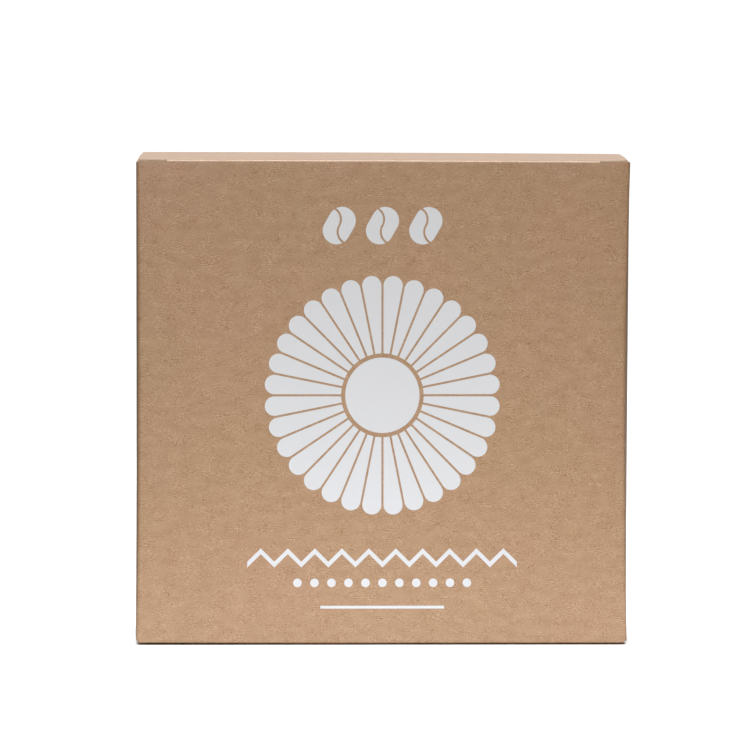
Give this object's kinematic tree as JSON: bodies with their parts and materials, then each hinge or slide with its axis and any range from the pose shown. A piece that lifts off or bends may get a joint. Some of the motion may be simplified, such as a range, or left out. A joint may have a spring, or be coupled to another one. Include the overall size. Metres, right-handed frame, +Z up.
{
  "type": "coffee filter carton",
  "caption": "Kraft board folding carton that holds a stack of folded cone-shaped paper coffee filters, with a hinged tuck lid, dust flaps and a glued bottom.",
  "frame": {"origin": "middle of the carton's footprint, on the surface it stands on", "axes": "+Z up, the printed front panel faces -Y, the lid's crease is on the back at +Y, +X to the right as seen from the front"},
  "size_m": [0.17, 0.0701, 0.167],
  "materials": {
    "kraft_board": "matte",
    "filter_paper": "matte",
    "white_ink": "matte"
  },
  "bodies": {
    "carton": {"carton": "kraft_board", "filter_stack": "filter_paper", "front_print": "white_ink"},
    "lid": {"lid": "kraft_board"}
  },
  "joints": [
    {"name": "lid_hinge", "type": "hinge", "parent": "carton", "child": "lid", "pos_m": [0, 0.035, 0.167], "axis": [-1, 0, 0], "range_deg": [0, 180]}
  ]
}
